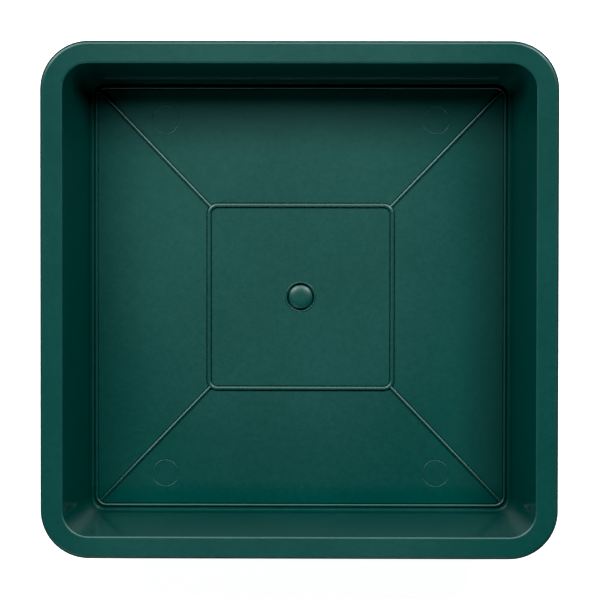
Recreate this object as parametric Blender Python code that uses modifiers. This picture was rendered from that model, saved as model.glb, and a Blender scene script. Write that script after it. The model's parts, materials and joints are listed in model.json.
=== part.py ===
"""Square plant saucer at its real size, in metres, standing on the plane z = 0.

The tray is one moulded shell: a flat rim with a turned-down lip, four leaning walls and a flat floor with
beads on it. Its side walls lean further in than its end walls, so the floor is a little longer than wide.
A domed drain plug with a sealing washer lifts out of the middle of the floor, and four rubber pads stand in
round sockets under it.
"""

import math

import bmesh
import bpy

# Tray
OUTER_WIDTH = 0.300
OVERALL_HEIGHT = 0.060
RIM_WIDTH = 0.0129
OPENING_CORNER_RADIUS = 0.0151
LIP_DEPTH = 0.0055
SKIN = 0.002
SIDE_WALL_LEAN = math.radians(14.7)
END_WALL_LEAN = math.radians(11.9)
EDGE_ROUNDING = 0.0008

# Beads on the floor, which hold a pot clear of the water
BEAD_SQUARE_WIDTH = 0.108
BEAD_SQUARE_CORNER_RADIUS = 0.005
BEAD_WIDTH = 0.003
BEAD_HEIGHT = 0.0016
DIAGONAL_WIDTH = 0.0026
DIAGONAL_HEIGHT = 0.0013
DIAGONAL_REACH = 0.0004
EDGE_BEAD_CORNER_RADIUS = 0.006
EDGE_BEAD_WIDTH = 0.0024
EDGE_BEAD_HEIGHT = 0.001
EDGE_BEAD_GAP = 0.0011
BEAD_ROUNDING_SHARE = 0.28

# Pads under the floor, and the faint rings that their sockets leave on top of it
PAD_STAND = 0.0032
PAD_RADIUS = 0.007
PAD_TAPER = 0.0008
PAD_ROUNDING = 0.0005
PAD_SIDE_INSET = 0.0434
PAD_END_INSET = 0.0218
SOCKET_DEPTH = 0.0018
SOCKET_WALL = 0.0009
RING_MARK_WIDTH = 0.0005
RING_MARK_DEPTH = 0.0002

# Drain hole and its plug
HEAD_RADIUS = 0.0071
HEAD_EDGE_HEIGHT = 0.0006
HEAD_DOME_HEIGHT = 0.0016
HEAD_FLAT_RADIUS = 0.0034
HEAD_RECESS_MARGIN = 0.001
HEAD_RECESS_DEPTH = 0.0021
COLLAR_WIDTH = 0.0006
COLLAR_HEIGHT = 0.0004
WASHER_THICKNESS = 0.0008
WASHER_MARGIN = 0.0005
BORE_RADIUS = 0.0046
BORE_TAPER = 0.0004
SLEEVE_WALL = 0.0022
SLEEVE_STAND = 0.0012
STEM_WALL = 0.0012
STEM_LEAD_IN = 0.0005
PLUG_WEB = 0.0018

# Fits
SEAT_GAP = 0.0003
OVERLAP = 0.0006
MERGE_DISTANCE = 0.00001

# Smoothness
CORNER_STEPS = 8
TURN_STEPS = 32
SMALL_TURN_STEPS = 24
DOME_STEPS = 5
ROUNDING_STEPS = 2
BEAD_ROUNDING_STEPS = 3
SMOOTH_ANGLE = math.radians(35)

GREEN = (0.018, 0.080, 0.068, 1.0)
SEAL_BLACK = (0.015, 0.015, 0.016, 1.0)
PAD_GREY = (0.030, 0.031, 0.033, 1.0)

# Levels and half widths that follow from the sizes above
UNDERFLOOR_Z = PAD_STAND + SOCKET_DEPTH
FLOOR_Z = UNDERFLOOR_Z + SKIN
RECESS_Z = FLOOR_Z - HEAD_RECESS_DEPTH
OPENING_HALF = OUTER_WIDTH / 2 - RIM_WIDTH
FLOOR_HALF_X = OPENING_HALF - (OVERALL_HEIGHT - FLOOR_Z) * math.tan(SIDE_WALL_LEAN)
FLOOR_HALF_Y = OPENING_HALF - (OVERALL_HEIGHT - FLOOR_Z) * math.tan(END_WALL_LEAN)
EDGE_BEAD_INSET = EDGE_BEAD_GAP + EDGE_BEAD_WIDTH / 2


def clear_scene():
    for obj in list(bpy.data.objects):
        bpy.data.objects.remove(obj, do_unlink=True)


def make_material(name, colour, roughness, metallic=0.0):
    material = bpy.data.materials.new(name)
    material.use_nodes = True
    shader = material.node_tree.nodes["Principled BSDF"]
    shader.inputs["Base Color"].default_value = colour
    shader.inputs["Roughness"].default_value = roughness
    shader.inputs["Metallic"].default_value = metallic
    return material


def make_collection(name):
    collection = bpy.data.collections.new(name)
    bpy.context.scene.collection.children.link(collection)
    return collection


def add_object(name, mesh, collection, material=None):
    obj = bpy.data.objects.new(name, mesh)
    collection.objects.link(obj)
    if material:
        mesh.materials.append(material)
    return obj


def as_helper(obj):
    """A shape that is only joined to the tray or cut from it."""
    obj.hide_render = True
    obj.display_type = "WIRE"


def rounded_outline(half_x, half_y, radius):
    """Points of a rectangle with round corners, anticlockwise from the right-hand side."""
    points = []
    for corner in range(4):
        centre_angle = math.radians(45 + 90 * corner)
        centre_x = math.copysign(half_x - radius, math.cos(centre_angle))
        centre_y = math.copysign(half_y - radius, math.sin(centre_angle))
        for step in range(CORNER_STEPS + 1):
            angle = math.radians(90 * corner + 90 * step / CORNER_STEPS)
            points.append((centre_x + radius * math.cos(angle), centre_y + radius * math.sin(angle)))
    return points


def lofted_shell(name, sections, collection, material):
    """An open skin through outlines (half widths, corner radius, height), closed by a face at the last."""
    mesh = bpy.data.meshes.new(name)
    shell = bmesh.new()
    rings = [
        [shell.verts.new((x, y, height)) for x, y in rounded_outline(half_x, half_y, radius)]
        for half_x, half_y, radius, height in sections
    ]
    count = len(rings[0])
    for lower, upper in zip(rings, rings[1:]):
        for i in range(count):
            j = (i + 1) % count
            shell.faces.new((lower[i], lower[j], upper[j], upper[i]))
    shell.faces.new(rings[-1])
    shell.to_mesh(mesh)
    shell.free()
    mesh.shade_smooth()
    mesh.set_sharp_from_angle(angle=SMOOTH_ANGLE)
    return add_object(name, mesh, collection, material)


def turned(name, profile, collection, material=None, ring=False, steps=TURN_STEPS):
    """A profile of (radius, height) points, running down its outer side, turned about the Z axis."""
    mesh = bpy.data.meshes.new(name)
    edges = [(i, i + 1) for i in range(len(profile) - 1)]
    if ring:
        edges.append((len(profile) - 1, 0))
    mesh.from_pydata([(radius, 0.0, height) for radius, height in profile], edges, [])
    obj = add_object(name, mesh, collection, material)
    screw = obj.modifiers.new("Turn", "SCREW")
    screw.steps = screw.render_steps = steps
    screw.use_merge_vertices = True
    screw.merge_threshold = MERGE_DISTANCE
    return obj


def turned_ring(name, inner, outer, low, high, collection, material=None, steps=TURN_STEPS):
    profile = [(outer, high), (outer, low), (inner, low), (inner, high)]
    return turned(name, profile, collection, material, ring=True, steps=steps)


def disc(name, radius, low, high, collection):
    bpy.ops.mesh.primitive_cylinder_add(
        vertices=TURN_STEPS,
        radius=radius,
        depth=high - low,
        location=(0.0, 0.0, (low + high) / 2),
    )
    obj = bpy.context.object
    obj.name = name
    for owner in list(obj.users_collection):
        owner.objects.unlink(obj)
    collection.objects.link(obj)
    return obj


def add_bevel(obj, width):
    bevel = obj.modifiers.new("Rounding", "BEVEL")
    bevel.width = width
    bevel.segments = ROUNDING_STEPS
    bevel.limit_method = "ANGLE"
    bevel.angle_limit = SMOOTH_ANGLE


def add_boolean(obj, operation, collection):
    boolean = obj.modifiers.new(operation.title(), "BOOLEAN")
    boolean.operation = operation
    boolean.operand_type = "COLLECTION"
    boolean.collection = collection
    boolean.solver = "EXACT"


def drawn_curve(name, points, closed, collection):
    """A curve through points (x, y), straight from each to the next."""
    curve = bpy.data.curves.new(name, "CURVE")
    curve.dimensions = "3D"
    spline = curve.splines.new("POLY")
    spline.points.add(len(points) - 1)
    for point, (x, y) in zip(spline.points, points):
        point.co = (x, y, 0.0, 1.0)
    spline.use_cyclic_u = closed
    return add_object(name, curve, collection)


def bead_section(width, height, sunk):
    """Points (across, up) round a bead's cross-section: flat top, rounded edges and a foot sunk in the floor."""
    rounding = BEAD_ROUNDING_SHARE * width
    half = [(width / 2, -sunk)]
    for step in range(BEAD_ROUNDING_STEPS + 1):
        angle = math.radians(90 * step / BEAD_ROUNDING_STEPS)
        half.append((
            width / 2 - rounding + rounding * math.cos(angle),
            height - rounding + rounding * math.sin(angle),
        ))
    return half + [(-across, up) for across, up in reversed(half)]


def build_bead(name, path, closed, section, joined):
    """A bead of the given cross-section along a path (x, y) on the floor."""
    profile = drawn_curve(name + "_section", section, True, joined)
    line = drawn_curve(name + "_line", path, closed, joined)
    line.data.twist_mode = "Z_UP"
    line.data.bevel_mode = "OBJECT"
    line.data.bevel_object = profile
    line.data.use_fill_caps = not closed
    bpy.context.view_layer.update()
    mesh = bpy.data.meshes.new_from_object(line.evaluated_get(bpy.context.evaluated_depsgraph_get()))
    for drawn in (line, profile):
        bpy.data.objects.remove(drawn)
    welded = bmesh.new()
    welded.from_mesh(mesh)
    bmesh.ops.remove_doubles(welded, verts=welded.verts, dist=MERGE_DISTANCE)
    bmesh.ops.recalc_face_normals(welded, faces=welded.faces)
    welded.to_mesh(mesh)
    welded.free()
    mesh.shade_smooth()
    mesh.set_sharp_from_angle(angle=SMOOTH_ANGLE)
    bead = add_object(name, mesh, joined)
    bead.location.z = FLOOR_Z
    as_helper(bead)


def corners():
    """Name and side of each corner: -1 is left or front, 1 is right or back."""
    for side_y, row in ((-1, "front"), (1, "back")):
        for side_x, hand in ((-1, "left"), (1, "right")):
            yield f"{row}_{hand}", side_x, side_y


def corner_point(half_x, half_y, radius):
    """The middle of the back right round corner."""
    drawn_in = radius * (1 - math.cos(math.radians(45)))
    return half_x - drawn_in, half_y - drawn_in


def build_beads(joined):
    """The square bead, the bead round the floor's edge, and four diagonals between their corners."""
    build_bead(
        "bead_square",
        rounded_outline(BEAD_SQUARE_WIDTH / 2, BEAD_SQUARE_WIDTH / 2, BEAD_SQUARE_CORNER_RADIUS),
        True,
        bead_section(BEAD_WIDTH, BEAD_HEIGHT, OVERLAP),
        joined,
    )
    build_bead(
        "bead_edge",
        rounded_outline(
            FLOOR_HALF_X - EDGE_BEAD_INSET, FLOOR_HALF_Y - EDGE_BEAD_INSET, EDGE_BEAD_CORNER_RADIUS
        ),
        True,
        bead_section(EDGE_BEAD_WIDTH, EDGE_BEAD_HEIGHT, OVERLAP),
        joined,
    )
    start_x, start_y = corner_point(BEAD_SQUARE_WIDTH / 2, BEAD_SQUARE_WIDTH / 2, BEAD_SQUARE_CORNER_RADIUS)
    end_inset = EDGE_BEAD_GAP - DIAGONAL_REACH
    end_x, end_y = corner_point(
        FLOOR_HALF_X - end_inset,
        FLOOR_HALF_Y - end_inset,
        EDGE_BEAD_CORNER_RADIUS + EDGE_BEAD_INSET - end_inset,
    )
    diagonal = bead_section(DIAGONAL_WIDTH, DIAGONAL_HEIGHT, 2 * OVERLAP)
    for name, side_x, side_y in corners():
        path = [(side_x * start_x, side_y * start_y), (side_x * end_x, side_y * end_y)]
        build_bead(f"bead_{name}", path, False, diagonal, joined)


def pad_places():
    """Name and centre of each pad, clear of the diagonal beads."""
    pad_x = FLOOR_HALF_X - PAD_SIDE_INSET
    pad_y = FLOOR_HALF_Y - PAD_END_INSET
    for name, side_x, side_y in corners():
        yield name, side_x * pad_x, side_y * pad_y


def build_pad_sockets(joined, cut):
    """A low round wall under the floor for each pad, and the ring mark that it leaves on top."""
    inner = PAD_RADIUS + SEAT_GAP
    outer = inner + SOCKET_WALL
    mark = (inner + outer) / 2
    half_mark = RING_MARK_WIDTH / 2
    mark_low = FLOOR_Z - RING_MARK_DEPTH
    for name, x, y in pad_places():
        wall = turned_ring(
            f"socket_{name}", inner, outer, PAD_STAND, UNDERFLOOR_Z + OVERLAP, joined, steps=SMALL_TURN_STEPS
        )
        ring = turned_ring(
            f"ring_mark_{name}", mark - half_mark, mark + half_mark, mark_low, FLOOR_Z + OVERLAP, cut
        )
        for helper in (wall, ring):
            helper.location = (x, y, 0.0)
            as_helper(helper)


def build_drain(joined, cut):
    """The collar on the floor, the boss and sleeve under it, and the recess and tapered hole through them."""
    recess_radius = HEAD_RADIUS + HEAD_RECESS_MARGIN
    collar_top = FLOOR_Z + COLLAR_HEIGHT
    boss_low = RECESS_Z - SKIN
    collar = disc("drain_collar", recess_radius + COLLAR_WIDTH, FLOOR_Z - OVERLAP, collar_top, joined)
    boss = disc("drain_boss", recess_radius + SKIN, boss_low, UNDERFLOOR_Z + OVERLAP, joined)
    sleeve = disc("drain_sleeve", BORE_RADIUS + SLEEVE_WALL, SLEEVE_STAND, boss_low + OVERLAP, joined)
    hole_low = SLEEVE_STAND - OVERLAP
    narrowing = BORE_TAPER * (RECESS_Z - hole_low) / (RECESS_Z - SLEEVE_STAND)
    hole = turned(
        "drain_hole",
        [
            (0.0, collar_top + OVERLAP),
            (recess_radius, collar_top + OVERLAP),
            (recess_radius, RECESS_Z),
            (BORE_RADIUS, RECESS_Z),
            (BORE_RADIUS - narrowing, hole_low),
            (0.0, hole_low),
        ],
        cut,
    )
    for helper in (collar, boss, sleeve, hole):
        as_helper(helper)


def build_tray(parts, green):
    joined = make_collection("saucer_tray_additions")
    cut = make_collection("saucer_tray_cutters")
    outer_radius = OPENING_CORNER_RADIUS + RIM_WIDTH
    foot_radius = EDGE_BEAD_CORNER_RADIUS + EDGE_BEAD_INSET
    tray = lofted_shell(
        "saucer_tray",
        [
            (OUTER_WIDTH / 2, OUTER_WIDTH / 2, outer_radius, OVERALL_HEIGHT - LIP_DEPTH),
            (OUTER_WIDTH / 2, OUTER_WIDTH / 2, outer_radius, OVERALL_HEIGHT),
            (OPENING_HALF, OPENING_HALF, OPENING_CORNER_RADIUS, OVERALL_HEIGHT),
            (FLOOR_HALF_X, FLOOR_HALF_Y, foot_radius, FLOOR_Z),
        ],
        parts,
        green,
    )
    thickness = tray.modifiers.new("Skin", "SOLIDIFY")
    thickness.thickness = SKIN
    thickness.offset = -1
    thickness.use_even_offset = True
    add_bevel(tray, EDGE_ROUNDING)
    build_beads(joined)
    build_pad_sockets(joined, cut)
    build_drain(joined, cut)
    add_boolean(tray, "UNION", joined)
    add_boolean(tray, "DIFFERENCE", cut)
    flat_shading = tray.modifiers.new("Flat faces shaded flat", "WEIGHTED_NORMAL")
    flat_shading.keep_sharp = True


def dome_profile(edge_z):
    """Points from the middle of the head's top, across its flat and down its round shoulder to edge_z."""
    shoulder = HEAD_RADIUS - HEAD_FLAT_RADIUS
    points = [(0.0, edge_z + HEAD_DOME_HEIGHT)]
    for step in range(DOME_STEPS + 1):
        angle = math.radians(90 * step / DOME_STEPS)
        points.append((
            HEAD_FLAT_RADIUS + shoulder * math.sin(angle),
            edge_z + HEAD_DOME_HEIGHT * math.cos(angle),
        ))
    return points


def build_plug(parts, green, black):
    """The plug and its washer, in the frame of an empty on the axis that they lift along."""
    axis = bpy.data.objects.new("plug_lift_axis", None)
    axis.location = (0.0, 0.0, RECESS_Z)
    parts.objects.link(axis)

    washer_high = SEAT_GAP + WASHER_THICKNESS
    head_low = washer_high + SEAT_GAP
    head_edge = head_low + HEAD_EDGE_HEIGHT
    hollow_top = head_edge + HEAD_DOME_HEIGHT - PLUG_WEB
    stem_radius = BORE_RADIUS - SEAT_GAP
    tip_radius = stem_radius - BORE_TAPER
    tip_z = SLEEVE_STAND + SEAT_GAP - RECESS_Z
    hollow_radius = tip_radius - STEM_WALL
    plug = turned(
        "drain_plug",
        dome_profile(head_edge) + [
            (HEAD_RADIUS, head_low),
            (stem_radius, head_low),
            (stem_radius, 0.0),
            (tip_radius, tip_z + STEM_LEAD_IN),
            (tip_radius - STEM_LEAD_IN, tip_z),
            (hollow_radius, tip_z),
            (hollow_radius, hollow_top),
            (0.0, hollow_top),
        ],
        parts,
        green,
    )
    washer_outer = HEAD_RADIUS - WASHER_MARGIN
    washer = turned_ring(
        "plug_washer", stem_radius + SEAT_GAP, washer_outer, SEAT_GAP, washer_high, parts, black
    )
    for obj in (plug, washer):
        obj.parent = axis


def build_pads(parts, grey):
    """Rubber pads that stand in the sockets and carry the saucer."""
    top = UNDERFLOOR_Z - SEAT_GAP
    foot_radius = PAD_RADIUS - PAD_TAPER
    for name, x, y in pad_places():
        pad = turned(
            f"foot_pad_{name}",
            [
                (0.0, top),
                (PAD_RADIUS, top),
                (PAD_RADIUS, PAD_STAND),
                (foot_radius, PAD_ROUNDING),
                (foot_radius - PAD_ROUNDING, 0.0),
                (0.0, 0.0),
            ],
            parts,
            grey,
            steps=SMALL_TURN_STEPS,
        )
        pad.location = (x, y, 0.0)


def main():
    clear_scene()
    parts = make_collection("square_plant_saucer")
    green = make_material("green_plastic", GREEN, 0.38)
    black = make_material("seal_rubber", SEAL_BLACK, 0.55)
    grey = make_material("pad_rubber", PAD_GREY, 0.75)
    build_tray(parts, green)
    build_plug(parts, green, black)
    build_pads(parts, grey)


main()
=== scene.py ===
"""Looks of the square plant saucer: green moulding, drain plug, washer and rubber pads."""

import json
import math

import bmesh
import bpy
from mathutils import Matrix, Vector

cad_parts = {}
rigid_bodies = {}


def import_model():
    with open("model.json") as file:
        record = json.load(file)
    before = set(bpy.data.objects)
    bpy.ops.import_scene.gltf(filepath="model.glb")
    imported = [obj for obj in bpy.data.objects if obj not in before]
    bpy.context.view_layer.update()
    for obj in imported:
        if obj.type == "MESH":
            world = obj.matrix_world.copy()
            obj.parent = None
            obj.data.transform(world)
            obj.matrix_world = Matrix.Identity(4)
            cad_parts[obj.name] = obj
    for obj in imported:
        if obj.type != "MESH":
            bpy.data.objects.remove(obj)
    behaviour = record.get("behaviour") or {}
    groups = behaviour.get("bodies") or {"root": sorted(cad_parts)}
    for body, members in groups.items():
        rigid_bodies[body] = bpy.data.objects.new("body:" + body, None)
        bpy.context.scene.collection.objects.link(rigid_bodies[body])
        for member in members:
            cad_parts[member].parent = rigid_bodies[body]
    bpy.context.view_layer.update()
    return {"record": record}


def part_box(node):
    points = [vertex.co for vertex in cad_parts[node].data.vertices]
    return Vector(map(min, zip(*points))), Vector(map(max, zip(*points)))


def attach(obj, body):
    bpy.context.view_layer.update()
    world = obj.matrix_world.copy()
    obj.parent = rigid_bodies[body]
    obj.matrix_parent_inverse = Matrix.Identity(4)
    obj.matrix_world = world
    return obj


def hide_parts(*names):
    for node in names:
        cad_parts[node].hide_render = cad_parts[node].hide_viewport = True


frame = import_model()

# Levels of the tray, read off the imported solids
TRAY_LOW, TRAY_HIGH = (Vector(corner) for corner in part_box("saucer_tray"))
PLUG_LOW, PLUG_HIGH = (Vector(corner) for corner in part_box("drain_plug"))
WASHER_LOW, WASHER_HIGH = (Vector(corner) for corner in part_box("plug_washer"))
PAD_NODES = [
    "foot_pad_front_left", "foot_pad_front_right", "foot_pad_back_left", "foot_pad_back_right",
]
POT_SEAT = next(mount for mount in frame["record"]["mounts"] if mount["name"] == "pot_seat")

OUTER_HALF = TRAY_HIGH.x
RIM_Z = TRAY_HIGH.z
SLEEVE_Z = TRAY_LOW.z

# Sizes of the moulding, in metres, with leans as angles and slopes as fall over run
SQUARE_BEAD_HEIGHT = 0.0016
FLOOR_Z = POT_SEAT["pos_m"][2] - SQUARE_BEAD_HEIGHT
SKIN = 0.002
UNDERFLOOR_Z = FLOOR_Z - SKIN
RIM_WIDTH = 0.0129
OPENING_HALF = OUTER_HALF - RIM_WIDTH
OPENING_RADIUS = 0.0151
LIP_DEPTH = 0.0055
LIP_ROUND = 0.0010
LIP_ROLL = 0.0017
INNER_EDGE = 0.0009
OUTER_EDGE = 0.0008
EDGE_SLOPE = 0.36
SIDE_LEAN = math.radians(14.7)
END_LEAN = math.radians(11.9)
FOOT_HALF_X = OPENING_HALF - (RIM_Z - FLOOR_Z) * math.tan(SIDE_LEAN)
FOOT_HALF_Y = OPENING_HALF - (RIM_Z - FLOOR_Z) * math.tan(END_LEAN)
FOOT_RADIUS = 0.0083
FLOOR_BAND = 0.005
UNDER_BAND = 0.006
MID_FLOOR_HALF = 0.060
MID_FLOOR_RADIUS = 0.020

SQUARE_BEAD_HALF = 0.054
SQUARE_BEAD_RADIUS = 0.005
SQUARE_BEAD_WIDTH = 0.0023
DIAGONAL_WIDTH = 0.0018
DIAGONAL_HEIGHT = 0.0013
DIAGONAL_CLOSING = 0.0012
NARROWEST = 0.4
EDGE_BEAD_INSET = 0.0026
EDGE_BEAD_RADIUS = 0.006
EDGE_BEAD_WIDTH = 0.0018
EDGE_BEAD_HEIGHT = 0.001
BEAD_DRAW = 0.0002
BEAD_RIDGE = 0.0001
BEAD_ROUND = 0.0002
TOP_SLOPE = 0.36
CHANNEL_MARGIN = 0.00045
CHANNEL_DEPTH = 0.0005
CHANNEL_LEAN = 0.0001
CHANNEL_OVER = 0.0005

RECESS_RADIUS = 0.0081
RECESS_Z = FLOOR_Z - 0.0021
COLLAR_WIDTH = 0.0010
COLLAR_HEIGHT = 0.0004
COLLAR_LEAN = 0.0003
DRAIN_BAND = 0.004
BORE_RADIUS = 0.0046
BORE_TAPER = 0.0004
SLEEVE_RADIUS = 0.0068
BOSS_RADIUS = RECESS_RADIUS + SKIN
BOSS_Z = RECESS_Z - SKIN
HEAD_FALL = 0.0016
HEAD_RIM = 0.0006
HEAD_SKIN = 0.0018
STEM_WALL = 0.0012
# The dome falls by this share of its radius, on a curve of this power
DOME_FALL = 0.17
DOME_POWER = 3.5
DOME_STEPS = 12

RING_MARK_RADIUS = 0.00775
RING_MARK_BAR = 0.00040
RING_MARK_DEPTH = 0.00022
RING_MARK_STEPS = 16
SOCKET_WALL = 0.0009
SOCKET_Z = UNDERFLOOR_Z - 0.0018
SOCKET_ROOT = 0.0005
SOCKET_FLANGE = 0.0012
SEAT_GAP = 0.0003
PAD_CHAMFER = 0.0008
DIMPLE_MOUTH = 0.0030
DIMPLE_FLOOR = 0.0022
DIMPLE_DEPTH = 0.0004

# Steps in curves, reach of roundings, and limits for meshes
ARC_STEPS = 20
TURNED_STEPS = 96
ROUNDING_STEPS = 6
CLOSING_STEPS = 5
LARGEST_REACH = 0.46
HOLD = 0.00025
LARGEST_HOLD = 0.04
SAME_POINT = 1e-7
SMOOTH_ANGLE = math.radians(38)


# Meshes

def rounded_path(corners, steps=ROUNDING_STEPS):
    """Points (across, height, spot) along corners (across, height, rounding), turned to arcs.

    The spot counts corners along the path, so that other values can be read between them.
    """
    points = []
    last = len(corners) - 1
    for spot, (across, height, rounding) in enumerate(corners):
        here = Vector((across, height))
        if spot in (0, last) or not rounding:
            points.append((across, height, float(spot)))
            continue
        back = Vector(corners[spot - 1][:2]) - here
        on = Vector(corners[spot + 1][:2]) - here
        half = back.angle(on) / 2
        reach = min(
            rounding / math.tan(half), LARGEST_REACH * back.length, LARGEST_REACH * on.length
        )
        to_back, to_on = back.normalized(), on.normalized()
        start, end = here + to_back * reach, here + to_on * reach
        centre = here + (to_back + to_on).normalized() * reach / math.cos(half)
        turn = math.pi - 2 * half
        hold_back = min(HOLD, LARGEST_HOLD * back.length)
        hold_on = min(HOLD, LARGEST_HOLD * on.length)
        held = start + to_back * hold_back
        points.append((held.x, held.y, spot - (reach + hold_back) / back.length))
        for step in range(steps + 1):
            share = step / steps
            point = centre + (
                (start - centre) * math.sin((1 - share) * turn)
                + (end - centre) * math.sin(share * turn)
            ) / math.sin(turn)
            before = spot - reach / back.length
            after = spot + reach / on.length
            points.append((point.x, point.y, before + (after - before) * share))
        held = end + to_on * hold_on
        points.append((held.x, held.y, spot + (reach + hold_on) / on.length))
    return points


def read_between(values, spot):
    """The value at a spot between two corners, for a list with one value for each corner."""
    low = min(int(spot), len(values) - 2)
    return values[low] + (values[low + 1] - values[low]) * (spot - low)


def rounded_rectangle(half_x, half_y, radius, level_x, level_y):
    """Points anticlockwise round a rectangle with round corners.

    Its sides lie at level_x and its ends at level_y.
    """
    points = []
    for corner in range(4):
        middle = math.radians(45 + 90 * corner)
        centre_x = math.copysign(half_x - radius, math.cos(middle))
        centre_y = math.copysign(half_y - radius, math.sin(middle))
        for step in range(ARC_STEPS + 1):
            angle = math.radians(90 * corner + 90 * step / ARC_STEPS)
            level = level_x + (level_y - level_x) * math.sin(angle) ** 2
            across, along = radius * math.cos(angle), radius * math.sin(angle)
            points.append(Vector((centre_x + across, centre_y + along, level)))
    return points


def circle(radius, level, count=4 * (ARC_STEPS + 1), middle=(0.0, 0.0)):
    """Points round a circle, set so that they face those of a rounded rectangle."""
    points = []
    for step in range(count):
        angle = 2 * math.pi * (step + 0.5) / count
        across, along = radius * math.cos(angle), radius * math.sin(angle)
        points.append(Vector((middle[0] + across, middle[1] + along, level)))
    return points


def skin_over(name, rings, closed=False, capped=False):
    """A mesh of four-sided faces between rings of equally many points."""
    shape = bmesh.new()
    rows = [[shape.verts.new(point) for point in ring] for ring in rings]
    pairs = list(zip(rows, rows[1:]))
    if closed:
        pairs.append((rows[-1], rows[0]))
    count = len(rows[0])
    for low, high in pairs:
        for i in range(count):
            j = (i + 1) % count
            shape.faces.new((low[i], low[j], high[j], high[i]))
    if capped:
        shape.faces.new(rows[0])
        shape.faces.new(rows[-1])
    bmesh.ops.remove_doubles(shape, verts=shape.verts, dist=SAME_POINT)
    bmesh.ops.recalc_face_normals(shape, faces=shape.faces)
    mesh = bpy.data.meshes.new(name)
    shape.to_mesh(mesh)
    shape.free()
    mesh.shade_smooth()
    mesh.set_sharp_from_angle(angle=SMOOTH_ANGLE)
    return mesh


def place(name, mesh):
    """An object of a mesh, put in the scene."""
    piece = bpy.data.objects.new(name, mesh)
    bpy.context.scene.collection.objects.link(piece)
    return piece


def turned(name, corners, closed=False, middle=(0.0, 0.0), steps=ROUNDING_STEPS):
    """A path of (radius, height, rounding) corners turned about an upright axis."""
    rings = [
        circle(radius, height, TURNED_STEPS, middle)
        for radius, height, _ in rounded_path(corners, steps)
    ]
    return skin_over(name, rings, closed=closed)


def bead_section(half, height):
    """A bead's cross-section: two steep flanks and a top that falls a little both ways."""
    fall = TOP_SLOPE * (half - BEAD_DRAW - BEAD_RIDGE)
    corners = [
        (-half, -CHANNEL_DEPTH, 0.0),
        (BEAD_DRAW - half, height - fall, BEAD_ROUND),
        (-BEAD_RIDGE, height, BEAD_ROUND),
        (BEAD_RIDGE, height, BEAD_ROUND),
        (half - BEAD_DRAW, height - fall, BEAD_ROUND),
        (half, -CHANNEL_DEPTH, 0.0),
    ]
    points = [(across, rise) for across, rise, _ in rounded_path(corners, 3)]
    return points + [(half, -SKIN / 2), (-half, -SKIN / 2)]


def channel_section(half):
    """A shallow channel's cross-section: flat bottom, leaning sides, and well above the floor."""
    wide = half + CHANNEL_MARGIN
    return [
        (CHANNEL_LEAN - wide, -CHANNEL_DEPTH),
        (wide - CHANNEL_LEAN, -CHANNEL_DEPTH),
        (wide, 0.0),
        (wide + CHANNEL_LEAN, CHANNEL_OVER),
        (-wide - CHANNEL_LEAN, CHANNEL_OVER),
        (-wide, 0.0),
    ]


def bead_round(name, half_x, half_y, radius, section):
    """A bead, or the cutter for its channel, along a rounded rectangle on the floor."""
    rings = []
    for across, rise in section:
        sizes = half_x + across, half_y + across, radius + across
        rings.append(rounded_rectangle(*sizes, FLOOR_Z + rise, FLOOR_Z + rise))
    return skin_over(name, rings, closed=True)


def bead_straight(name, start, end, section, closing):
    """A bead from start to end on the floor, its far end rounded down over the closing length."""
    along = (end - start).normalized()
    side = Vector((-along.y, along.x))
    length = (end - start).length
    stations = [(0.0, 1.0), ((length - closing) / 2, 1.0), (length - closing, 1.0)]
    for step in range(1, CLOSING_STEPS + 1):
        share = step / (CLOSING_STEPS + 0.4)
        stations.append((length - closing + closing * share, math.sqrt(1 - share ** 2)))
    rings = []
    for distance, size in stations:
        spot = start + along * distance
        narrowed = NARROWEST + (1 - NARROWEST) * size  # of the width
        ring = []
        for across, rise in section:
            lowered = rise * size if rise > 0 else rise
            ring.append(Vector((*(spot + side * across * narrowed), FLOOR_Z + lowered)))
        rings.append(ring)
    return skin_over(name, rings, capped=True)


def channel_straight(name, start, end, section):
    """A cutter for a channel in the floor from start to end."""
    along = (end - start).normalized()
    side = Vector((-along.y, along.x))
    rings = [
        [Vector((*(spot + side * across), FLOOR_Z + rise)) for across, rise in section]
        for spot in (start, end)
    ]
    return skin_over(name, rings, capped=True)


def joined_meshes(name, meshes):
    """One mesh of several that overlap, such as the floor and the beads on it."""
    whole = bmesh.new()
    for mesh in meshes:
        whole.from_mesh(mesh)
    result = bpy.data.meshes.new(name)
    whole.to_mesh(result)
    whole.free()
    for mesh in meshes:
        bpy.data.meshes.remove(mesh)
    return result


def cut_away(mesh, cutters):
    """The mesh with each cutter's shape taken out of it."""
    body = place("body_to_cut", mesh)
    tools = bpy.data.collections.new("cutters")
    for number, cutter in enumerate(cutters):
        tools.objects.link(bpy.data.objects.new(f"cutter_{number}", cutter))
    bpy.context.scene.collection.children.link(tools)
    cut = body.modifiers.new("Cut", "BOOLEAN")
    cut.operation = "DIFFERENCE"
    cut.operand_type = "COLLECTION"
    cut.collection = tools
    cut.solver = "EXACT"
    bpy.context.view_layer.update()
    depsgraph = bpy.context.evaluated_depsgraph_get()
    result = bpy.data.meshes.new_from_object(body.evaluated_get(depsgraph))
    for helper in [body, *tools.objects]:
        bpy.data.objects.remove(helper)
    bpy.data.collections.remove(tools)
    result.shade_smooth()
    result.set_sharp_from_angle(angle=SMOOTH_ANGLE)
    return result


# The tray

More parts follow.
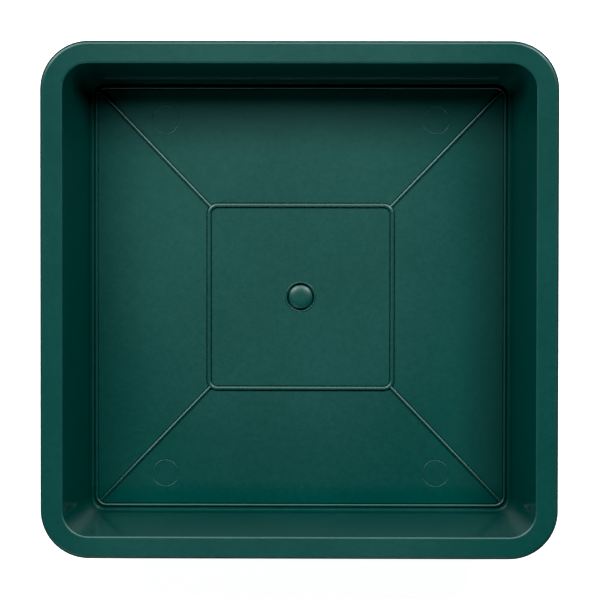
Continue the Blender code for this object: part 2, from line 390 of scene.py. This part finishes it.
def wall_side(foot_half, lean):
    """One side of the tray as corners: up the wall, over the rim and down outside to the foot."""
    outer_foot = foot_half + SKIN / math.cos(lean) - SKIN * math.tan(lean)
    under_rim = RIM_Z - SKIN
    outer_top = outer_foot + (under_rim - UNDERFLOOR_Z) * math.tan(lean)
    lip_low = RIM_Z - LIP_DEPTH
    return [
        (foot_half - FLOOR_BAND, FLOOR_Z, 0.0),
        (foot_half, FLOOR_Z, 0.00015),
        (OPENING_HALF, RIM_Z - EDGE_SLOPE * INNER_EDGE, 0.0003),
        (OPENING_HALF + INNER_EDGE, RIM_Z, 0.0006),
        (OUTER_HALF - LIP_ROUND - OUTER_EDGE, RIM_Z, 0.0006),
        (OUTER_HALF - LIP_ROUND, RIM_Z - EDGE_SLOPE * OUTER_EDGE, 0.0005),
        (OUTER_HALF, RIM_Z - LIP_ROLL, 0.0006),
        (OUTER_HALF, lip_low, 0.0005),
        (OUTER_HALF - SKIN, lip_low, 0.0005),
        (OUTER_HALF - SKIN, under_rim, 0.0008),
        (outer_top, under_rim, 0.0012),
        (outer_foot, UNDERFLOOR_Z, 0.0020),
        (outer_foot - UNDER_BAND, UNDERFLOOR_Z, 0.0),
    ]


def wall_rings():
    """Rings round the walls and rim, with a corner radius for each corner of wall_side."""
    outer_radius = OPENING_RADIUS + RIM_WIDTH
    outer_foot_radius = FOOT_RADIUS + SKIN
    radii = [
        FOOT_RADIUS - FLOOR_BAND,
        FOOT_RADIUS,
        OPENING_RADIUS,
        OPENING_RADIUS + INNER_EDGE,
        outer_radius - LIP_ROUND - OUTER_EDGE,
        outer_radius - LIP_ROUND,
        outer_radius,
        outer_radius,
        outer_radius - SKIN,
        outer_radius - SKIN,
        OPENING_RADIUS + SKIN,
        outer_foot_radius,
        outer_foot_radius - UNDER_BAND,
    ]
    sides = rounded_path(wall_side(FOOT_HALF_X, SIDE_LEAN))
    ends = rounded_path(wall_side(FOOT_HALF_Y, END_LEAN))
    rings = []
    for (half_x, level_x, spot), (half_y, level_y, _) in zip(sides, ends):
        rings.append(rounded_rectangle(half_x, half_y, read_between(radii, spot), level_x, level_y))
    return rings


def drain_rings():
    """Rings from under the floor round the boss and sleeve, up the bore and over the collar."""
    collar = RECESS_RADIUS + COLLAR_WIDTH
    corners = [
        (BOSS_RADIUS + DRAIN_BAND, UNDERFLOOR_Z, 0.0),
        (BOSS_RADIUS, UNDERFLOOR_Z, 0.0005),
        (BOSS_RADIUS, BOSS_Z, 0.0006),
        (SLEEVE_RADIUS, BOSS_Z, 0.0004),
        (SLEEVE_RADIUS, SLEEVE_Z, 0.0004),
        (BORE_RADIUS - BORE_TAPER, SLEEVE_Z, 0.0003),
        (BORE_RADIUS, RECESS_Z, 0.0003),
        (RECESS_RADIUS, RECESS_Z, 0.0003),
        (RECESS_RADIUS, FLOOR_Z + COLLAR_HEIGHT, 0.0003),
        (collar - COLLAR_LEAN, FLOOR_Z + COLLAR_HEIGHT, 0.0004),
        (collar, FLOOR_Z, 0.0001),
        (collar + DRAIN_BAND, FLOOR_Z, 0.0),
    ]
    return [circle(radius, height) for radius, height, _ in rounded_path(corners, 4)]


def pad_middles():
    """Each pad's node, and the middle of its box in plan."""
    for name in PAD_NODES:
        low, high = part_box(name)
        yield name, ((low[0] + high[0]) / 2, (low[1] + high[1]) / 2)


def ring_mark_cutters():
    """A thin ring over each pad that cuts a shallow round line into the floor."""
    cutters = []
    for name, middle in pad_middles():
        rings = []
        for step in range(RING_MARK_STEPS):
            angle = 2 * math.pi * step / RING_MARK_STEPS
            radius = RING_MARK_RADIUS + RING_MARK_BAR * math.cos(angle)
            height = FLOOR_Z + RING_MARK_BAR - RING_MARK_DEPTH + RING_MARK_BAR * math.sin(angle)
            rings.append(circle(radius, height, TURNED_STEPS, middle))
        cutters.append(skin_over(f"ring_mark_{name}", rings, closed=True))
    return cutters


def pad_sockets():
    """The round walls under the floor that hold the pads."""
    pad_low, pad_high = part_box(PAD_NODES[0])
    inner = (pad_high[0] - pad_low[0]) / 2 + SEAT_GAP
    outer = inner + SOCKET_WALL
    sockets = []
    for name, middle in pad_middles():
        corners = [
            (inner, UNDERFLOOR_Z + SOCKET_ROOT, 0.0),
            (inner, SOCKET_Z, 0.0003),
            (outer, SOCKET_Z, 0.0003),
            (outer + 0.0001, UNDERFLOOR_Z, 0.0004),
            (outer + SOCKET_FLANGE, UNDERFLOOR_Z + 0.00001, 0.0),
            (outer + SOCKET_FLANGE, UNDERFLOOR_Z + SOCKET_ROOT, 0.0),
        ]
        sockets.append(turned(f"socket_{name}", corners, closed=True, middle=middle, steps=4))
    return sockets


def corner_spot(half_x, half_y, radius):
    """Where a diagonal meets a rounded rectangle's corner."""
    drawn_in = radius * (1 - math.cos(math.radians(45)))
    return Vector((half_x - drawn_in, half_y - drawn_in))


def floor_lines():
    """The beads on the floor, and a cutter for the fine channel that each of them stands in."""
    beads, channels = [], []
    edge_x, edge_y = FOOT_HALF_X - EDGE_BEAD_INSET, FOOT_HALF_Y - EDGE_BEAD_INSET
    square = (SQUARE_BEAD_HALF, SQUARE_BEAD_HALF, SQUARE_BEAD_RADIUS)
    edge = (edge_x, edge_y, EDGE_BEAD_RADIUS)
    for name, line, width, height in (
        ("square_bead", square, SQUARE_BEAD_WIDTH, SQUARE_BEAD_HEIGHT),
        ("edge_bead", edge, EDGE_BEAD_WIDTH, EDGE_BEAD_HEIGHT),
    ):
        beads.append(bead_round(name, *line, bead_section(width / 2, height)))
        channels.append(bead_round(f"{name}_channel", *line, channel_section(width / 2)))
    section = bead_section(DIAGONAL_WIDTH / 2, DIAGONAL_HEIGHT)
    channel = channel_section(DIAGONAL_WIDTH / 2)
    start, end = corner_spot(*square), corner_spot(*edge)
    for side_x in (-1, 1):
        for side_y in (-1, 1):
            turn = Vector((side_x, side_y))
            ends = start * turn, end * turn
            beads.append(bead_straight("diagonal_bead", *ends, section, DIAGONAL_CLOSING))
            channels.append(channel_straight("diagonal_channel", *ends, channel))
    return beads, channels


def build_tray():
    mid_floor = MID_FLOOR_HALF, MID_FLOOR_HALF, MID_FLOOR_RADIUS
    flat = [rounded_rectangle(*mid_floor, FLOOR_Z, FLOOR_Z)]
    under = [rounded_rectangle(*mid_floor, UNDERFLOOR_Z, UNDERFLOOR_Z)]
    shell = skin_over("tray_shell", drain_rings() + flat + wall_rings() + under, closed=True)
    beads, channels = floor_lines()
    marked = cut_away(shell, ring_mark_cutters() + channels)
    return place("tray", joined_meshes("tray", [marked, *beads, *pad_sockets()]))


# Plug, washer and pads

def build_plug():
    head = PLUG_HIGH.x
    top = PLUG_HIGH.z
    edge = top - HEAD_FALL
    under_head = edge - HEAD_RIM
    stem = BORE_RADIUS - SEAT_GAP
    tip = stem - BORE_TAPER
    hollow = tip - STEM_WALL
    low = PLUG_LOW.z
    path = []
    for step in range(DOME_STEPS + 1):
        across = (head - 0.0004) * step / DOME_STEPS
        path.append((across, top - DOME_FALL * head * (across / head) ** DOME_POWER, 0.0))
    path += [
        (head, edge - 0.0002, 0.0003),
        (head, under_head, 0.00015),
        (stem, under_head, 0.0002),
        (stem, RECESS_Z, 0.0),
        (tip, low + 0.0005, 0.0003),
        (tip - 0.0004, low, 0.0002),
        (hollow, low, 0.0003),
        (hollow, top - HEAD_SKIN, 0.0005),
        (0.0, top - HEAD_SKIN, 0.0),
    ]
    return place("plug", turned("plug", path))


def build_washer():
    inner = BORE_RADIUS
    outer = WASHER_HIGH.x
    low, high = WASHER_LOW.z, WASHER_HIGH.z
    middle = (low + high) / 2
    path = [
        (inner, middle, 0.0),
        (inner, low, 0.00015),
        (outer, low, 0.0003),
        (outer, high, 0.0003),
        (inner, high, 0.00015),
    ]
    return place("washer", turned("washer", path, closed=True))


def build_pad(name, middle):
    low, high = (Vector(corner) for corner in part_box(name))
    radius = (high.x - low.x) / 2
    foot = radius - PAD_CHAMFER
    path = [
        (0.0, high.z, 0.0),
        (radius, high.z, 0.0003),
        (radius, SOCKET_Z, 0.0004),
        (foot, low.z, 0.0006),
        (DIMPLE_MOUTH, low.z, 0.0003),
        (DIMPLE_FLOOR, low.z + DIMPLE_DEPTH, 0.0003),
        (0.0, low.z + DIMPLE_DEPTH, 0.0),
    ]
    return place(name.replace("foot_pad", "pad"), turned(name, path, middle=middle))


# Finishes

# Each colour as a darker and a lighter tone
# The walls' deeper green is painted shade
WALL_PAINTED_SHADE_GREEN = (0.0002, 0.0330, 0.0282, 1.0), (0.0004, 0.0380, 0.0325, 1.0)
# The side green is painted shade toward the edges of floor and rim, the centre green a painted pool
# of light in their middle
SIDE_PAINTED_SHADE_GREEN = (0.0002, 0.0385, 0.0329, 1.0), (0.0004, 0.0465, 0.0397, 1.0)
CENTRE_PAINTED_LIGHT_GREEN = (0.0003, 0.0412, 0.0349, 1.0), (0.0007, 0.0510, 0.0433, 1.0)
WASHER_BLACK = (0.012, 0.012, 0.013, 1.0), (0.024, 0.024, 0.026, 1.0)
PAD_GREY = (0.024, 0.025, 0.027, 1.0), (0.050, 0.051, 0.052, 1.0)
STUDIO_PALE = (0.86, 0.86, 0.86, 1.0), (0.90, 0.90, 0.90, 1.0)
# Painted shade along the right edge of the floor
RIGHT_EDGE_PAINTED_SHADE_GREEN = (0.0002, 0.0290, 0.0248, 1.0)
GLOSS_TINT = (0.85, 1.0, 0.98, 1.0)
WHITE = (1.0, 1.0, 1.0, 1.0)

# The stretch of floor and rim that is painted paler, a painted pool of light with painted shade
# round it, and is less glossy, as an oval in plan
PAINTED_LIGHT_OVAL_MIDDLE_X, PAINTED_LIGHT_OVAL_MIDDLE_Y = -0.012, 0.035
PAINTED_LIGHT_OVAL_HALF_X, PAINTED_LIGHT_OVAL_HALF_Y = 0.135, 0.185


class Value:
    """A shader socket that can be used in sums like a number."""

    def __init__(self, finish, socket):
        self.finish = finish
        self.socket = socket

    def maths(self, operation, *others, first=True):
        values = (self, *others) if first else (*others, self)
        return self.finish.add("ShaderNodeMath", {"operation": operation}, dict(enumerate(values)))

    def __add__(self, other):
        return self.maths("ADD", other)

    def __sub__(self, other):
        return self.maths("SUBTRACT", other)

    def __rsub__(self, other):
        return self.maths("SUBTRACT", other, first=False)

    def __mul__(self, other):
        return self.maths("MULTIPLY", other)

    def __truediv__(self, other):
        return self.maths("DIVIDE", other)

    def __rtruediv__(self, other):
        return self.maths("DIVIDE", other, first=False)

    def __pow__(self, other):
        return self.maths("POWER", other)

    __radd__ = __add__
    __rmul__ = __mul__

    def between(self, low, high):
        """0 up to low, 1 from high on, and a soft rise between them."""
        settings = {"interpolation_type": "SMOOTHSTEP"}
        sockets = {"Value": self, "From Min": low, "From Max": high}
        return self.finish.add("ShaderNodeMapRange", settings, sockets)


class Finish:
    """A material, built up from values."""

    def __init__(self, name):
        self.material = bpy.data.materials.new(name)
        self.material.use_nodes = True
        self.tree = self.material.node_tree
        self.shader = self.tree.nodes["Principled BSDF"]
        self.where = self.add("ShaderNodeTexCoord", {}, {}, "Object")

    def add(self, kind, settings, sockets, output=0):
        node = self.tree.nodes.new(kind)
        for name, value in settings.items():
            setattr(node, name, value)
        for name, value in sockets.items():
            self.feed(node.inputs[name], value)
        return Value(self, node.outputs[output])

    def feed(self, socket, value):
        if isinstance(value, Value):
            self.tree.links.new(value.socket, socket)
        else:
            socket.default_value = value

    def noise(self, size, detail=2.0, roughness=0.5, where=None):
        """Soft noise whose features are about size across, in metres."""
        sockets = {
            "Vector": where or self.where,
            "Scale": 1 / size,
            "Detail": detail,
            "Roughness": roughness,
        }
        return self.add("ShaderNodeTexNoise", {}, sockets)

    def along(self, axis):
        """How far along an axis a point lies, in metres from the saucer's middle."""
        return self.add("ShaderNodeSeparateXYZ", {}, {0: self.where}, axis)

    def facing(self, axis):
        """1 where the surface faces along an axis, either way, and 0 where it runs along it."""
        normal = self.add("ShaderNodeNewGeometry", {}, {}, "Normal")
        return self.add("ShaderNodeSeparateXYZ", {}, {0: normal}, axis).maths("ABSOLUTE")

    def stretched(self, x, y, z):
        """Positions stretched along the axes, for noise that runs in streaks."""
        sockets = {0: self.where, 1: (x, y, z)}
        return self.add("ShaderNodeVectorMath", {"operation": "MULTIPLY"}, sockets)

    def blend(self, share, first, second):
        """A colour between two."""
        node = self.tree.nodes.new("ShaderNodeMix")
        node.data_type = "RGBA"
        colours = [socket for socket in node.inputs if socket.type == "RGBA"]
        self.feed(node.inputs[0], share)
        for socket, colour in zip(colours, (first, second)):
            self.feed(socket, colour)
        return Value(self, next(socket for socket in node.outputs if socket.type == "RGBA"))

    def raised(self, height, distance, strength=1.0, under=None):
        """A bump from a height of 0 to 1 that stands for distance, in metres."""
        sockets = {"Height": height, "Distance": distance, "Strength": strength}
        if under:
            sockets["Normal"] = under
        return self.add("ShaderNodeBump", {}, sockets)

    def set(self, **values):
        for name, value in values.items():
            self.feed(self.shader.inputs[name.replace("_", " ")], value)
        return self.material


def green_plastic():
    """Satin green moulding: grained where level, smoother up its walls, whose deeper green is
    painted shade.

    The walls' round corners are rougher than the walls. Colour and gloss also change with place on
    the floor and rim, so that the haze of the lamps falls off from the middle as it does in the
    photograph: the paler middle of the floor and rim is a painted pool of light, and the darker
    green toward their edges and along the right edge of the floor is painted shade.
    """
    finish = Finish("green_plastic")
    drift = finish.noise(0.070, 3.0)
    mottle = finish.noise(0.0028, 4.0, 0.6)
    speckle = finish.noise(0.0015, 3.0, 0.7)
    grain = finish.noise(0.0009, 2.0)
    rubs = finish.noise(0.0011, 2.0, where=finish.stretched(1.0, 0.05, 0.3)).between(0.66, 0.74)

    # Which way the surface faces: walls, edges or level
    upward = finish.facing("Z")
    turn = finish.facing("X") * finish.facing("Y")
    edges = upward.between(0.25, 0.45)
    level = upward.between(0.35, 0.85)
    flat = upward.between(0.950, 0.998)

    # Where on the saucer it lies
    x, y, z = finish.along("X"), finish.along("Y"), finish.along("Z")
    floor = 1 - z.between(0.012, 0.050)
    # A painted pool of light: floor and rim paler round the oval's middle, falling off to painted
    # shade toward their edges
    away_x = ((x - PAINTED_LIGHT_OVAL_MIDDLE_X) / PAINTED_LIGHT_OVAL_HALF_X) ** 2
    away_y = ((y - PAINTED_LIGHT_OVAL_MIDDLE_Y) / PAINTED_LIGHT_OVAL_HALF_Y) ** 2
    away = (floor * 0.25 + 0.75) * away_x + floor * away_y
    middle = 1 - away.between(0.15, 0.85)
    # Painted shade: the floor is darker along its right edge
    right_edge_painted_shade = floor * x.between(0.085, 0.125)
    front_edge = floor * (0 - y).between(0.108, 0.121)

    tone = (drift * 0.34 + mottle * 0.30 + speckle * 0.36).between(0.37, 0.63)
    # walls: the deeper green up the walls is painted shade
    walls = finish.blend(tone, *WALL_PAINTED_SHADE_GREEN)
    # sides: painted shade toward the edges; centre: painted pool of light in the middle
    sides = finish.blend(tone, *SIDE_PAINTED_SHADE_GREEN)
    centre = finish.blend(tone, *CENTRE_PAINTED_LIGHT_GREEN)
    faces = finish.blend(right_edge_painted_shade, finish.blend(middle, sides, centre), RIGHT_EDGE_PAINTED_SHADE_GREEN)
    gloss = 0.18 + turn * 0.40 + edges * 0.18 + flat * (middle * 0.085 - 0.05 - front_edge * 0.13)
    gloss = gloss + (drift - 0.5) * 0.05 + (mottle - 0.5) * 0.08 + rubs * 0.03
    relief = (grain * 0.6 + mottle * 0.4 - 0.5) * (0.35 + flat * 0.65)
    return finish.set(
        Base_Color=finish.blend(level, walls, faces),
        Specular_Tint=GLOSS_TINT,
        Roughness=gloss,
        Normal=finish.raised(relief, 0.00006),
    )


def seal_rubber():
    """Black rubber with a faint bloom and moulding grain."""
    finish = Finish("seal_rubber")
    bloom = finish.noise(0.0018, 3.0, 0.6)
    grain = finish.noise(0.00022, 2.0)
    share = bloom.between(0.35, 0.75)
    return finish.set(
        Base_Color=finish.blend(share, *WASHER_BLACK),
        Roughness=0.48 + bloom * 0.16,
        Normal=finish.raised(grain, 0.00001),
    )


def pad_rubber():
    """Matt dark grey rubber, dusted a little paler in patches."""
    finish = Finish("pad_rubber")
    dust = finish.noise(0.0026, 4.0, 0.65)
    grain = finish.noise(0.0003, 2.0)
    share = dust.between(0.35, 0.70)
    return finish.set(
        Base_Color=finish.blend(share, *PAD_GREY),
        Roughness=0.66 + dust * 0.2,
        Normal=finish.raised(grain, 0.00002),
    )


def studio_white(name, glow):
    """A pale studio surface that also gives off a little light."""
    finish = Finish(name)
    cloud = finish.noise(0.9, 2.0)
    finish.shader.inputs["Emission Strength"].default_value = glow
    return finish.set(
        Base_Color=finish.blend(cloud, *STUDIO_PALE),
        Emission_Color=WHITE,
        Roughness=0.9,
        Specular_IOR_Level=0.0,
    )


# Studio

LAMP_HEIGHT = 2.2
STUDIO_RADIUS = 12.0
STUDIO_MIDDLE = 0.0005
STUDIO_WALL = 1.0
FLOOR_GLOW = 0.86
WALL_GLOW = 0.90
AIR_GLOW = 0.02
SHADOW_LEVEL = 0.002

CAMERA_SPOT = (0.0388, 0.1035, RIM_Z + 2.5)
CAMERA_TILT = (-2.362, 0.881, 0.066)
LENS = 259.70


def build_studio():
    """A wide pale floor with a low wall round it, neither mirrored in glossy surfaces."""
    rings = [circle(STUDIO_RADIUS, 0.0), circle(STUDIO_MIDDLE, 0.0)]
    floor = place("studio_floor", skin_over("studio_floor", rings))
    floor.data.materials.append(studio_white("floor_white", FLOOR_GLOW))
    inside = STUDIO_RADIUS - 0.1
    rings = [circle(inside, -0.01), circle(inside, STUDIO_WALL)]
    wall = place("studio_wall", skin_over("studio_wall", rings))
    wall.data.materials.append(studio_white("wall_white", WALL_GLOW))
    for stage in (floor, wall):
        stage.visible_glossy = False
    world = bpy.data.worlds.new("studio_air")
    world.use_nodes = True
    air = world.node_tree.nodes["Background"]
    air.inputs["Color"].default_value = WHITE
    air.inputs["Strength"].default_value = AIR_GLOW
    bpy.context.scene.world = world


def soft_box(name, across, back, width, depth, power):
    """A flat light at lamp height, tipped about the X axis toward the saucer's middle line."""
    light = bpy.data.lights.new(name, "AREA")
    light.shape = "RECTANGLE"
    light.size = width
    light.size_y = depth
    light.energy = power
    lamp = bpy.data.objects.new(name, light)
    lamp.location = (across, back, LAMP_HEIGHT)
    lamp.rotation_euler = (-math.atan2(back, LAMP_HEIGHT), 0.0, 0.0)
    bpy.context.scene.collection.objects.link(lamp)


def build_lights():
    """Two keys behind the saucer, a weaker lamp between them and two fills in front."""
    soft_box("key_left", -1.48, 1.50, 1.50, 1.10, 86)
    soft_box("key_right", 1.36, 1.60, 1.30, 1.10, 84)
    soft_box("key_middle", -0.10, 1.90, 1.30, 0.80, 17)
    soft_box("fill_front", 0.0, -5.5, 0.7, 0.7, 50)
    soft_box("fill_front_left", -1.76, -3.08, 0.7, 0.7, 20)


def build_camera():
    """A long lens high over the saucer, tipped a little as in the photograph."""
    camera = bpy.data.objects.new("camera", bpy.data.cameras.new("camera"))
    camera.location = CAMERA_SPOT
    camera.rotation_euler = [math.radians(angle) for angle in CAMERA_TILT]
    camera.data.lens = LENS
    camera.data.sensor_width = 36.0
    camera.data.clip_start = 0.05
    camera.data.clip_end = 60.0
    bpy.context.scene.collection.objects.link(camera)
    bpy.context.scene.camera = camera


def build_print():
    """How the picture is developed: plain colours, with the deepest shadows taken to black."""
    look = bpy.context.scene.view_settings
    look.view_transform = "Standard"
    look.use_curve_mapping = True
    look.curve_mapping.black_level = (SHADOW_LEVEL, SHADOW_LEVEL, SHADOW_LEVEL)
    look.curve_mapping.update()


def dress(piece, material, body, node):
    """Give a piece its material, and say what it rides on and replaces."""
    piece.data.materials.clear()
    piece.data.materials.append(material)
    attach(piece, body)
    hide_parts(node)


def main():
    green, black, grey = green_plastic(), seal_rubber(), pad_rubber()
    dress(build_tray(), green, "tray", "saucer_tray")
    dress(build_plug(), green, "plug", "drain_plug")
    dress(build_washer(), black, "plug", "plug_washer")
    for name, middle in pad_middles():
        dress(build_pad(name, middle), grey, "tray", name)
    build_studio()
    build_lights()
    build_camera()
    build_print()


main()
